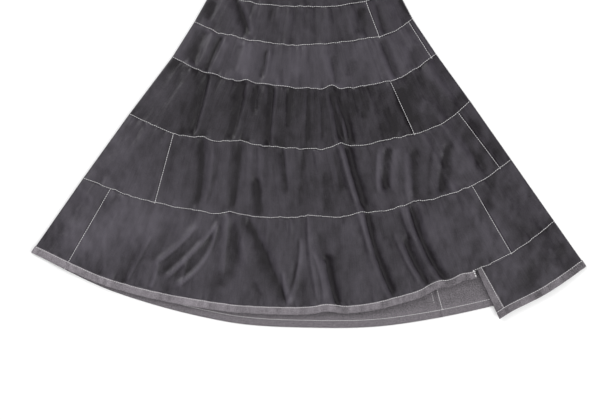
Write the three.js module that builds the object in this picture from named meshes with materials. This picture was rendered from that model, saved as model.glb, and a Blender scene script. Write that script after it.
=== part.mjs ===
// A midi skirt laid flat on its back, in millimetres. A gathered strip of taffeta is pieced end to end
// and winds down round the body in a spiral, from a yoke to the hem, so every seam climbs from one turn
// to the next and the strip ends in a short hemmed edge at the front right.
// +Y points to the waist, +Z up out of the front, and the back's outer face lies on z = 0.
// A drop is a distance down from the top of the waistband.
import * as THREE from "three";

// The cloth and how it lies
const LENGTH = 761;        // waistband's top to the lowest point of the back hem
const CENTRE_X = -1;       // middle of the outline in the tables' x
const CLOTH = 1.2;         // wall of the cloth
const TURN_CLOTH = 1.0;    // the layer that is turned up at the hem
const SEAM_GAP = 0.3;      // between two pieces
const HEM_TURN = 16;       // depth of the turned hem below its stitching
const HEM_RAMP = 14;       // length over which the back rises onto its turned hem
const EDGE_HEIGHT = 4.4;   // middle of the front's wall at the side folds
const BODY_HEIGHT = 6;     // middle of the front's wall away from the folds
const LEAST_HEIGHT = 2.7;  // where the front's wall comes down on the back
const EDGE_RISE = 70;      // distance from a side fold over which the front reaches its full height
const FOLD_REACH = 1.8;    // how far the wall's middle bulges at a side fold
const FOLD_STEPS = 5;      // facets round a side fold

// Columns of facets across the front and the back, and the depth of a row of them
const FRONT_COLUMNS = 84;
const BACK_COLUMNS = 26;
const BAND_COLUMNS = 56;
const ROW_STEP = 40;
const FRONT_HEM_ROWS = 5;
const BACK_HEM_ROWS = 3;
const SLANT_ROOM = 0.15;   // share of a line over which the columns turn into a slanting join

const table = (columns, rows) => {
  const names = columns.split(" ");
  return rows.map((row) => Object.fromEntries(names.map((name, i) => [name, row[i]])));
};

// Lines round the skirt, from the waist down: x at the two side folds, and the drop at eight places
const PLACES = [0, 0.15, 0.35, 0.5, 0.65, 0.85, 0.93, 1];
const WAIST = 0;
const YOKE_TOP = 1;
const YOKE_FOOT = 2;
const HEM_STITCHING = 7;
const END_STITCHING = 8;
const FRONT_LINES = table("leftX rightX drops", [
  [-164, 154, [0, 3, 5, 6, 5, 3, 1, 0]],
  [-172, 160, [28, 32, 35, 36, 35, 32, 30, 28]],
  [-188, 174, [80, 108, 119, 121, 121, 109, 95, 78]],
  [-228, 209, [151, 179, 194, 198, 193, 180, 167, 145]],
  [-272, 256, [221, 258, 276, 284, 284, 266, 242, 215]],
  [-358, 324, [335, 378, 395, 405, 401, 372, 350, 309]],
  [-450, 406, [463, 508, 538, 541, 536, 497, 468, 426]],
  [-544, 492, [598, 666, 710, 719, 710, 645, 604, 549]],
  [375, 546, [729, 713, 696, 683, 667, 644, 634, 626]],
]);
// A back line runs from the left end of the front line above its own to the right end of its own
const BACK_LINES = table("leftX rightX drops", [
  [-164, 154, [0, 2, 3, 4, 3, 2, 1, 0]],
  [-172, 160, [28, 31, 33, 34, 33, 31, 29, 28]],
  [-188, 174, [80, 92, 98, 99, 98, 90, 84, 78]],
  [-188, 209, [80, 103, 124, 137, 148, 153, 150, 145]],
  [-228, 256, [151, 180, 207, 221, 231, 234, 225, 215]],
  [-272, 324, [221, 262, 300, 322, 338, 339, 325, 309]],
  [-358, 406, [335, 386, 436, 462, 480, 475, 452, 426]],
  [-450, 492, [463, 520, 586, 612, 625, 611, 581, 549]],
  [-544, 546, [598, 675, 733, 745, 740, 698, 663, 626]],
]);

// Where a front seam is pulled up by a fold that crosses it
const SEAM_RIPPLES = table("line x rise width", [
  [3, -150, 4, 10],
  [4, -184, 4, 14],
  [4, -124, 4, 12],
  [4, 47, 7, 12],
  [5, -214, 5, 18],
  [5, -140, 5, 16],
  [5, 64, 9, 17],
  [6, -150, 7, 24],
  [6, 10, 3, 16],
  [6, 104, 6, 18],
  [6, 214, 4, 14],
  [7, 36, 6, 24],
  [7, 254, 7, 20],
  [7, 304, 4, 14],
]);

// Folds of the front: the ends of each, how far it bows to the right, its half width and its rise
const FOLDS = table("topX topDrop footX footDrop bow width rise", [
  [50, 256, 172, 700, -10, 11, -5.0],
  [36, 260, 152, 690, -10, 13, 4.0],
  [-172, 170, -230, 380, 3, 11, -4.8],
  [-202, 160, -236, 240, 0, 13, -3.6],
  [-130, 262, -152, 392, 2, 11, -5.0],
  [-140, 386, -150, 530, 4, 11, -4.6],
  [-70, 272, -80, 400, 0, 10, -4.8],
  [-86, 200, -82, 274, 0, 10, -3.0],
  [-140, 112, -126, 176, 3, 12, -3.4],
  [128, 98, 148, 178, 0, 13, -3.6],
  [144, 172, 172, 256, 4, 11, -4.0],
  [44, 214, 54, 280, 0, 10, -3.4],
  [204, 396, 210, 520, -5, 11, -4.2],
  [200, 512, 272, 660, -6, 11, -5.0],
  [190, 566, 246, 680, -4, 10, -4.0],
  [34, 606, 56, 724, -3, 12, -5.0],
  [158, 392, 150, 474, -3, 12, -3.4],
  [38, 424, 18, 536, 2, 13, -3.2],
  [-50, 404, -40, 512, 0, 11, -3.0],
  [-96, 462, -100, 540, 0, 13, -3.6],
  [-136, 530, -42, 716, 4, 13, 4.6],
  [4, 548, -42, 716, 3, 12, 4.0],
  [-162, 526, -164, 668, 4, 10, 3.4],
  [-182, 552, -282, 668, -6, 12, 5.0],
  [-222, 560, -308, 676, -8, 12, 4.2],
  [-318, 572, -372, 672, 4, 12, 3.4],
  [-202, 590, -262, 656, 0, 12, -3.6],
  [-92, 560, -30, 690, 4, 13, -3.8],
  [204, 164, 226, 246, 0, 13, -3.0],
  [250, 300, 300, 350, 8, 17, -2.8],
]);

// Gathers at the seams: their rise and two unequal spacings
const GATHERS = table("line rise spacing longSpacing", [
  [1, 1.2, 27, 44],
  [2, 1.0, 41, 67],
  [3, 1.1, 39, 61],
  [4, 1.8, 37, 58],
  [5, 1.5, 42, 71],
  [6, 1.7, 46, 77],
]);
const GATHER_BELOW = 75;   // how far the gathers show below a seam
const GATHER_ABOVE = 22;   // and above it
const ELASTIC_RISE = 1.3;  // ruffles of the elastic waistband
const ELASTIC_SPACING = 21;
const ELASTIC_FADE = 14;   // distance from the yoke over which they fade

// Joins between the pieces of the strip, as shares of the way across on the line above and below
const JOINS = Object.fromEntries(table("name above below", [
  ["yokeRight", 0.842, 0.851],
  ["sideRight", 0.985, 0.985],
  ["hipRight", 0.822, 0.833],
  ["thighRight", 0.966, 0.9755],
  ["thighLeft", 0.128, 0.166],
  ["hemRight", 0.909, 0.918],
  ["hemLeft", 0.063, 0.062],
  ["backHem", 0.727, 0.739],
]).map((join) => [join.name, join]));
const STRIP_TIP = { above: 0.02, below: 0.02 };   // the strip's pointed start on the back
const STRIP_END = { above: 0.85, below: 0 };     // its short hemmed end on the front
const FRONT_HEM_END = 0.845;                      // where the front hem meets that end
const END_TURN = { above: 10, below: 16 };        // width of the cloth turned up there

const mix = (a, b, share) => a + (b - a) * share;
const smooth = (share) => {
  const s = Math.min(1, Math.max(0, share));
  return s * s * (3 - 2 * s);
};
const bell = (u) => Math.exp(-u * u);
const counted = (count, make) => Array.from({ length: count }, (_, i) => make(i));

// A smooth curve through the eight drops of a line
function dropAt(drops, place) {
  let i = 0;
  while (i < PLACES.length - 2 && place > PLACES[i + 1]) i += 1;
  const slope = (k) => {
    const a = Math.max(0, k - 1);
    const b = Math.min(PLACES.length - 1, k + 1);
    return (drops[b] - drops[a]) / (PLACES[b] - PLACES[a]);
  };
  const span = PLACES[i + 1] - PLACES[i];
  const t = (place - PLACES[i]) / span;
  const leave = t * (1 - t) * (1 - t) * span * slope(i);
  const arrive = t * t * (1 - t) * span * slope(i + 1);
  return mix(drops[i], drops[i + 1], t * t * (3 - 2 * t)) + leave - arrive;
}

const ripple = (index, x) => SEAM_RIPPLES.filter((row) => row.line === index)
  .reduce((sum, row) => sum + row.rise * bell((x - row.x) / row.width), 0);

// A line is a function from a place on it, 0 at the left and 1 at the right, to an x and a drop
const lineOf = (row, pulledUp = () => 0) => (place) => {
  const x = mix(row.leftX, row.rightX, place);
  return { x, drop: dropAt(row.drops, place) - pulledUp(x) };
};
const frontLine = (index) => lineOf(FRONT_LINES[index], (x) => ripple(index, x));
const backLine = (index) => lineOf(BACK_LINES[index]);
const frontLines = (index) => [frontLine(index), frontLine(index + 1)];
const backLines = (index) => [backLine(index), backLine(index + 1)];

const between = (a, b, share) => ({ x: mix(a.x, b.x, share), drop: mix(a.drop, b.drop, share) });
const distance = (a, b) => Math.hypot(a.x - b.x, a.drop - b.drop);

// The two side folds, seen from above
const LEFT_EDGE = FRONT_LINES.slice(0, END_STITCHING).map((row) => lineOf(row)(0));
const RIGHT_EDGE = FRONT_LINES.map((row) => lineOf(row)(1));
function edgeX(edge, drop) {
  const next = edge.findIndex((point) => point.drop >= drop);
  const i = next < 0 ? edge.length - 1 : Math.max(1, next);
  const share = (drop - edge[i - 1].drop) / (edge[i].drop - edge[i - 1].drop);
  return mix(edge[i - 1].x, edge[i].x, share);
}
const fromEdge = ({ x, drop }) => Math.min(x - edgeX(LEFT_EDGE, drop), edgeX(RIGHT_EDGE, drop) - x);

// A fold across its half width, with a shallow shoulder of the other sense on each side
const SHOULDER = 0.35;
const SHOULDER_AT = 2;
const profile = (u) => bell(u) - SHOULDER * (bell(u - SHOULDER_AT) + bell(u + SHOULDER_AT));

// Height that the folds give the front at a place
function foldHeight({ x, drop }) {
  return FOLDS.reduce((sum, fold) => {
    const alongX = fold.footX - fold.topX;
    const alongDrop = fold.footDrop - fold.topDrop;
    const length = Math.hypot(alongX, alongDrop);
    const t = ((x - fold.topX) * alongX + (drop - fold.topDrop) * alongDrop) / (length * length);
    if (t <= 0 || t >= 1) return sum;
    const aside = ((x - fold.topX) * alongDrop - (drop - fold.topDrop) * alongX) / length;
    const off = (aside - fold.bow * 4 * t * (1 - t)) / fold.width;
    return sum + fold.rise * smooth(6 * t) * smooth(6 * (1 - t)) * profile(off);
  }, 0);
}

// Height of the gathers at a seam
function gatherHeight(index, x) {
  const row = GATHERS.find((gather) => gather.line === index);
  if (!row) return 0;
  const wave = 0.6 * Math.sin((2 * Math.PI * x) / row.spacing + index)
    + 0.4 * Math.sin((2 * Math.PI * x) / row.longSpacing + 2 * index);
  return row.rise * wave;
}

// Middle of the front's wall between line index and the one below it
function frontHeight(at, index, down, depth) {
  const edge = fromEdge(at);
  const base = mix(EDGE_HEIGHT, BODY_HEIGHT, smooth(edge / EDGE_RISE));
  const elastic = index === WAIST ? ELASTIC_RISE * Math.sin((2 * Math.PI * at.x) / ELASTIC_SPACING) : 0;
  const relief = foldHeight(at)
    + gatherHeight(index, at.x) * (1 - smooth(down / GATHER_BELOW))
    + gatherHeight(index + 1, at.x) * (1 - smooth((depth - down) / GATHER_ABOVE))
    + elastic * smooth((depth - down) / ELASTIC_FADE);
  return Math.max(LEAST_HEIGHT, base + relief * smooth((2 * edge) / EDGE_RISE));
}

// The back lies on the ground and steps up onto its turned hem
function backHeight(index, down, depth) {
  const past = index === HEM_STITCHING ? down - depth : -HEM_RAMP;
  return CLOTH / 2 + (TURN_CLOTH + SEAM_GAP) * smooth((past + HEM_RAMP) / HEM_RAMP);
}

const space = ({ x, drop }, height) => new THREE.Vector3(x - CENTRE_X, LENGTH / 2 - drop, height);

// A station is one column of facets: its depth, and the middle of the wall and its outward direction
// at a distance down it. at(shift, down) is the middle a small shift further along the strip.
const NUDGE = 0.001;
function station(depth, at) {
  const wallAt = (down) => {
    const downwards = at(0, down + 0.5).sub(at(0, down - 0.5));
    const onwards = at(NUDGE, down).sub(at(-NUDGE, down));
    return { middle: at(0, down), outward: downwards.cross(onwards).normalize() };
  };
  return { depth, wallAt };
}

// Columns between two ends stand at the same shares on every line, so that two pieces meet vertex to
// vertex at their seam. Beside a slanting end they turn into its slope.
function columnsBetween(from, to, count) {
  const first = Math.ceil(from.above * count + 0.4);
  const last = Math.floor(to.above * count - 0.4);
  const inner = counted(Math.max(0, last - first + 1), (i) => (first + i) / count);
  return [from.above, ...inner, to.above].map((above) => {
    const leave = Math.max(0, 1 - (above - from.above) / SLANT_ROOM);
    const arrive = Math.max(0, 1 - (to.above - above) / SLANT_ROOM);
    const slant = leave * (from.below - from.above) + arrive * (to.below - to.above);
    return { above, below: above + slant };
  });
}

function pointOn([high, low], column, shift, down) {
  const top = high(column.above + shift);
  const foot = low(column.below + shift);
  return between(top, foot, down / distance(top, foot));
}
const depthOf = ([high, low], column) => distance(high(column.above), low(column.below));

function frontStations(index, columns) {
  const lines = frontLines(index);
  return columns.map((column) => {
    const depth = depthOf(lines, column);
    return station(depth, (shift, down) => {
      const point = pointOn(lines, column, shift, down);
      return space(point, frontHeight(point, index, down, depth));
    });
  });
}

// The back is taken from right to left, as the strip runs
function backStations(index, columns) {
  const lines = backLines(index);
  return [...columns].reverse().map((column) => {
    const depth = depthOf(lines, column);
    const at = (shift, down) =>
      space(pointOn(lines, column, -shift, down), backHeight(index, down, depth));
    return station(depth, at);
  });
}

// The ends of a run: just inside a side fold, or half a seam's gap beside a join
const FOLD_ROOM = FOLD_REACH + CLOTH / 2;
const widthOf = (line) => line(1).x - line(0).x;
const atLeft = (lines) => ({ above: FOLD_ROOM / widthOf(lines[0]), below: FOLD_ROOM / widthOf(lines[1]) });
const atRight = (lines) => ({ above: 1 - atLeft(lines).above, below: 1 - atLeft(lines).below });
function beside(join, lines, direction) {
  const half = (direction * SEAM_GAP) / 2;
  return { above: join.above + half / widthOf(lines[0]), below: join.below + half / widthOf(lines[1]) };
}

// The half turn of the strip round a side fold, between a front level and a back level
function foldStations(frontIndex, backIndex, onRight) {
  const fronts = frontLines(frontIndex);
  const backs = backLines(backIndex);
  const end = onRight ? 1 : 0;
  const inside = onRight ? atRight : atLeft;
  const tip = { above: end, below: end };
  const depth = depthOf(fronts, tip);
  const at = (turn) => (shift, down) => {
    const angle = Math.PI * (turn + (onRight ? shift : -shift));
    const share = down / depth;
    const front = pointOn(fronts, inside(fronts), 0, share * depthOf(fronts, inside(fronts)));
    const back = pointOn(backs, inside(backs), 0, share * depthOf(backs, inside(backs)));
    const chord = between(front, back, angle / Math.PI);
    const bulge = (Math.sin(angle) * FOLD_REACH) / FOLD_ROOM;
    const low = backHeight(backIndex, down, depth);
    const height = mix(low, EDGE_HEIGHT, 0.5 + Math.cos(angle) / 2);
    return space(between(chord, pointOn(fronts, tip, 0, down), bulge), height);
  };
  const turns = counted(FOLD_STEPS - 1, (i) => (i + 1) / FOLD_STEPS);
  return (onRight ? turns : turns.reverse()).map((turn) => station(depth, at(turn)));
}

// A closed wall through stations. rowsOf(depth) lists its distances down, offset moves it outwards,
// and keep(i, j) says which cells between columns and rows are cloth.
function wall(stations, rowsOf, { offset = 0, thickness = CLOTH, ring = false, keep = () => true } = {}) {
  const positions = [];
  const indices = [];
  const push = (point) => positions.push(...point) / 3 - 1;
  const grid = stations.map(({ depth, wallAt }) => rowsOf(depth).map((down) => {
    const { middle, outward } = wallAt(down);
    const shifted = (by) => push(middle.clone().addScaledVector(outward, by));
    return { outer: shifted(offset + thickness / 2), inner: shifted(offset - thickness / 2) };
  }));
  const columns = ring ? grid.length : grid.length - 1;
  const rows = grid[0].length - 1;
  const isCloth = (i, j) => j >= 0 && j < rows && (ring || (i >= 0 && i < columns)) && keep(i, j);
  const quad = (a, b, c, d) => indices.push(a, b, c, a, c, d);
  for (let i = 0; i < columns; i += 1) {
    const left = grid[i];
    const right = grid[(i + 1) % grid.length];
    for (let j = 0; j < rows; j += 1) {
      if (!isCloth(i, j)) continue;
      const [a, b, c, d] = [left[j], left[j + 1], right[j + 1], right[j]];
      quad(a.outer, b.outer, c.outer, d.outer);
      quad(a.inner, d.inner, c.inner, b.inner);
      if (!isCloth(i, j - 1)) quad(a.inner, a.outer, d.outer, d.inner);
      if (!isCloth(i, j + 1)) quad(c.inner, c.outer, b.outer, b.inner);
      if (!isCloth(i - 1, j)) quad(b.inner, b.outer, a.outer, a.inner);
      if (!isCloth(i + 1, j)) quad(d.inner, d.outer, c.outer, c.inner);
    }
  }
  const geometry = new THREE.BufferGeometry();
  geometry.setAttribute("position", new THREE.Float32BufferAttribute(positions, 3));
  geometry.setIndex(indices);
  return geometry;
}

// Rows of a piece that is sewn at both edges, and of one that runs on into a hem
const sewnRows = (count) => (depth) =>
  counted(count + 1, (i) => mix(SEAM_GAP / 2, depth - SEAM_GAP / 2, i / count));
const hemmedRows = (count) => (depth) => [...sewnRows(count)(depth), depth + HEM_TURN];
const rowCount = (index) => Math.round(depthOf(frontLines(index), { above: 0.5, below: 0.5 }) / ROW_STEP);

// Runs of the strip over the front and the back at one level
const onFront = (index, from, to) => frontStations(index, columnsBetween(from, to, FRONT_COLUMNS));
const onBack = (index, to, from) => backStations(index, columnsBetween(from, to, BACK_COLUMNS));

// A ring of the waistband or the yoke
function ring(index, columns) {
  const fronts = frontLines(index);
  const backs = backLines(index);
  const stations = [
    ...frontStations(index, columnsBetween(atLeft(fronts), atRight(fronts), columns)),
    ...foldStations(index, index, true),
    ...onBack(index, atRight(backs), atLeft(backs)),
    ...foldStations(index, index, false),
  ];
  return wall(stations, sewnRows(rowCount(index)), { ring: true });
}

// A piece that lies on the front only
function frontPiece(index, leftJoin, rightJoin) {
  const lines = frontLines(index);
  const stations = onFront(index, beside(leftJoin, lines, 1), beside(rightJoin, lines, -1));
  return wall(stations, sewnRows(rowCount(index)));
}

// The piece with the strip's pointed start
function firstPiece() {
  const lines = frontLines(YOKE_FOOT);
  const stations = [
    ...onFront(YOKE_FOOT, beside(JOINS.yokeRight, lines, 1), atRight(lines)),
    ...foldStations(YOKE_FOOT, YOKE_FOOT, true),
    ...onBack(YOKE_FOOT, atRight(backLines(YOKE_FOOT)), STRIP_TIP),
  ];
  return wall(stations, sewnRows(rowCount(YOKE_FOOT)));
}

// A piece that starts at a join on the front's right, goes round the back and ends on the front again
function windingPiece(index, startJoin, endJoin) {
  const lines = frontLines(index);
  const higher = frontLines(index - 1);
  const backs = backLines(index);
  const stations = [
    ...onFront(index, beside(startJoin, lines, 1), atRight(lines)),
    ...foldStations(index, index, true),
    ...onBack(index, atRight(backs), atLeft(backs)),
    ...foldStations(index - 1, index, false),
    ...onFront(index - 1, atLeft(higher), beside(endJoin, higher, -1)),
  ];
  return wall(stations, sewnRows(rowCount(index)));
}

// Columns of the pieces that end in the hem. The front hem stops where the strip's end begins.
const hemLines = frontLines(HEM_STITCHING - 1);
const lastLines = frontLines(HEM_STITCHING);
const backHemLines = backLines(HEM_STITCHING);
const hemStop = { above: FRONT_HEM_END, below: FRONT_HEM_END };
const hemmedColumns = columnsBetween(beside(JOINS.hemLeft, hemLines, 1), hemStop, FRONT_COLUMNS);
const plainColumns = columnsBetween(hemStop, beside(JOINS.hemRight, hemLines, -1), FRONT_COLUMNS);
const endTurned = {
  above: STRIP_END.above + END_TURN.above / widthOf(lastLines[0]),
  below: STRIP_END.below + END_TURN.below / widthOf(lastLines[1]),
};
const endColumns = [STRIP_END, ...columnsBetween(endTurned, atRight(lastLines), FRONT_COLUMNS)];

// The last piece, from the strip's short end on the front round to the back
const lastStations = [
  ...frontStations(HEM_STITCHING, endColumns),
  ...foldStations(HEM_STITCHING, HEM_STITCHING, true),
  ...onBack(HEM_STITCHING, atRight(backHemLines), beside(JOINS.backHem, backHemLines, 1)),
];
// The piece before it, from there along the back and round to the front's left
const backHemStations = [
  ...onBack(HEM_STITCHING, beside(JOINS.backHem, backHemLines, -1), atLeft(backHemLines)),
  ...foldStations(HEM_STITCHING - 1, HEM_STITCHING, false),
  ...onFront(HEM_STITCHING - 1, atLeft(hemLines), beside(JOINS.hemLeft, hemLines, -1)),
];
const hemmedStations = frontStations(HEM_STITCHING - 1, hemmedColumns);
const frontHemStations = frontStations(HEM_STITCHING - 1, [...hemmedColumns, ...plainColumns.slice(1)]);
const hemStations = [...lastStations, ...backHemStations, ...hemmedStations];
const isHemmed = (i, j) => j < FRONT_HEM_ROWS || i < hemmedColumns.length - 1;

// The turned cloth lies on the outside of the hem, and beside the end stops short of it
const turned = { offset: CLOTH / 2 + SEAM_GAP + TURN_CLOTH / 2, thickness: TURN_CLOTH };
const turnRows = (depth) => hemmedRows(1)(depth).slice(1);
const endRows = (depth) => [...sewnRows(BACK_HEM_ROWS)(depth).slice(0, -1), depth - 1.5 * SEAM_GAP];

const taffeta = () => new THREE.MeshStandardMaterial({ color: 0x4a484b, roughness: 0.45, metalness: 0 });
const reverse = () => new THREE.MeshStandardMaterial({ color: 0x7c787c, roughness: 0.7, metalness: 0 });

const skirt = new THREE.Group();
function add(name, geometry, material = taffeta()) {
  const mesh = new THREE.Mesh(geometry, material);
  mesh.name = name;
  skirt.add(mesh);
}

add("waistband", ring(WAIST, BAND_COLUMNS));
add("yoke", ring(YOKE_TOP, BAND_COLUMNS));
add("strip_1", firstPiece());
add("strip_2", windingPiece(3, JOINS.sideRight, JOINS.yokeRight));
add("strip_3", windingPiece(4, JOINS.hipRight, JOINS.sideRight));
add("strip_4", windingPiece(5, JOINS.thighRight, JOINS.hipRight));
add("strip_5", frontPiece(5, JOINS.thighLeft, JOINS.thighRight));
add("strip_6", windingPiece(6, JOINS.hemRight, JOINS.thighLeft));
add("strip_7", wall(frontHemStations, hemmedRows(FRONT_HEM_ROWS), { keep: isHemmed }));
add("strip_8", wall(backHemStations, hemmedRows(BACK_HEM_ROWS)));
add("strip_9", wall(lastStations, hemmedRows(BACK_HEM_ROWS)));
add("hem_turnup", wall(hemStations, turnRows, turned), reverse());
add("end_turnup", wall(lastStations.slice(0, 2), endRows, turned), reverse());

export default skirt;
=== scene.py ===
import bpy
import numpy as np
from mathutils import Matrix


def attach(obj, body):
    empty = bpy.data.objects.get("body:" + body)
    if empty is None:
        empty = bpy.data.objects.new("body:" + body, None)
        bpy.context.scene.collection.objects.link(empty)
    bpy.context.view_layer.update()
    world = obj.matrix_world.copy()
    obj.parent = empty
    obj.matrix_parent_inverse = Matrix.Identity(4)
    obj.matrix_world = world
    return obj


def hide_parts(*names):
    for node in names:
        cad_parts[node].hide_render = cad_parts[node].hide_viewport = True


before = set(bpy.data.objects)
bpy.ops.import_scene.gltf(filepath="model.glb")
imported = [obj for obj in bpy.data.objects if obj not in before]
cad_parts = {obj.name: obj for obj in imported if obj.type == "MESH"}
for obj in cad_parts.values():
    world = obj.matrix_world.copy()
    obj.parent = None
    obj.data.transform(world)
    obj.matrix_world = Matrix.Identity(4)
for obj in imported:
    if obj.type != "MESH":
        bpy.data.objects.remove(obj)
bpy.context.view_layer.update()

bl_info = {
    "name": "Spiral Tiered Skirt",
    "version": (1, 0, 0),
    "blender": (4, 5, 0),
    "location": "3D View > Sidebar > Skirt",
    "description": "Builds a flared taffeta midi skirt laid flat, with its creases, turned hem and stitching",
    "category": "Add Mesh",
}

# Sizes are in millimetres, as a pattern cutter writes them, up to the point where a mesh is made.
# x is across the front to the right, and a drop is a distance down from the waistband's top.
MM = 0.001
LENGTH = 761.0        # waistband's top to the lowest point of the back hem
CENTRE_X = -1.0       # middle of the outline in the tables' x
CLOTH = 1.2           # wall of the solid that each piece of cloth stands for
TURN_CLOTH = 1.0      # wall of the solid of the turned hem
SEAM_GAP = 0.3        # between two solids
HEM_TURN = 16.0       # depth of the turned hem below its stitching
HEM_RAMP = 14.0       # length over which the back rises onto its turned hem
EDGE_HEIGHT = 4.4     # middle of the front's wall at the side folds
LEAST_HEIGHT = 2.4    # where the front comes down on the back
EDGE_RISE = 70.0      # distance from a side fold over which the front reaches its full height
FOLD_REACH = 1.8      # how far the wall bulges at a side fold
FOLD_TURNS = 10       # facets round a side fold

WAIST, YOKE_TOP, YOKE_FOOT, LAST_TIER, HEM_STITCHING = 0, 1, 2, 6, 7
PLACES = np.array([0, 0.15, 0.35, 0.5, 0.65, 0.85, 0.93, 1])
# Lines round the skirt from the waist down: x at the left and right side folds, then the drops
FRONT_LINES = [
    (-164, 154, (0, 3, 5, 6, 5, 3, 1, 0)),
    (-172, 160, (28, 32, 35, 36, 35, 32, 30, 28)),
    (-188, 174, (80, 108, 119, 121, 121, 109, 95, 78)),
    (-228, 209, (151, 179, 194, 198, 193, 180, 167, 145)),
    (-272, 256, (221, 258, 276, 284, 284, 266, 242, 215)),
    (-358, 324, (335, 378, 395, 405, 401, 372, 350, 309)),
    (-450, 406, (463, 508, 538, 541, 536, 497, 468, 426)),
    (-544, 492, (598, 666, 710, 719, 710, 645, 604, 549)),
    (375, 546, (729, 713, 696, 683, 667, 644, 634, 626)),
]
BACK_LINES = [
    (-164, 154, (0, 2, 3, 4, 3, 2, 1, 0)),
    (-172, 160, (28, 31, 33, 34, 33, 31, 29, 28)),
    (-188, 174, (80, 92, 98, 99, 98, 90, 84, 78)),
    (-188, 209, (80, 103, 124, 137, 148, 153, 150, 145)),
    (-228, 256, (151, 180, 207, 221, 231, 234, 225, 215)),
    (-272, 324, (221, 262, 300, 322, 338, 339, 325, 309)),
    (-358, 406, (335, 386, 436, 462, 480, 475, 452, 426)),
    (-450, 492, (463, 520, 586, 612, 625, 611, 581, 549)),
    (-544, 546, (598, 675, 733, 745, 740, 698, 663, 626)),
]
# Joins between the pieces of the strip, as shares of the way across on the line above and below
JOINS = {
    "yoke_right": (0.842, 0.851),
    "side_right": (0.985, 0.985),
    "hip_right": (0.822, 0.833),
    "thigh_right": (0.966, 0.9755),
    "thigh_left": (0.128, 0.166),
    "hem_right": (0.909, 0.918),
    "hem_left": (0.063, 0.062),
    "back_hem": (0.727, 0.739),
}
STRIP_TIP = (0.02, 0.02)
STRIP_END = (0.85, 0.0)
FRONT_HEM_END = 0.845
END_TURN = (10.0, 16.0)  # width of the cloth turned up at the strip's end, above and below
HEM_ROW = 1.7            # drop of the hem's stitching below the turned cloth's upper edge
HEM_ROW_INSIDE = 1.4     # and of its thread on the inside
INSIDE_LIFT = 0.1        # how far a thread's middle stands off the cloth inside


def table(columns, rows):
    """Rows of numbers as named columns."""
    return dict(zip(columns.split(), np.array(rows, dtype=float).T))


# Where a front seam is pulled up by a fold that crosses it
SEAM_RIPPLES = table("line x rise width", [
    (3, -150, 4, 10),
    (4, -184, 4, 14),
    (4, -124, 4, 12),
    (4, 47, 7, 12),
    (5, -214, 5, 18),
    (5, -140, 5, 16),
    (5, 64, 9, 17),
    (6, -150, 7, 24),
    (6, 10, 3, 16),
    (6, 104, 6, 18),
    (6, 214, 4, 14),
    (7, 36, 6, 24),
    (7, 254, 7, 20),
    (7, 304, 4, 14),
])
# How far each front line wanders on its gathers, as a share of a full one
SEAM_WANDER = (0.2, 0.4, 0.7, 1.0, 1.0, 1.0, 1.0, 0.3, 0.0)

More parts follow.
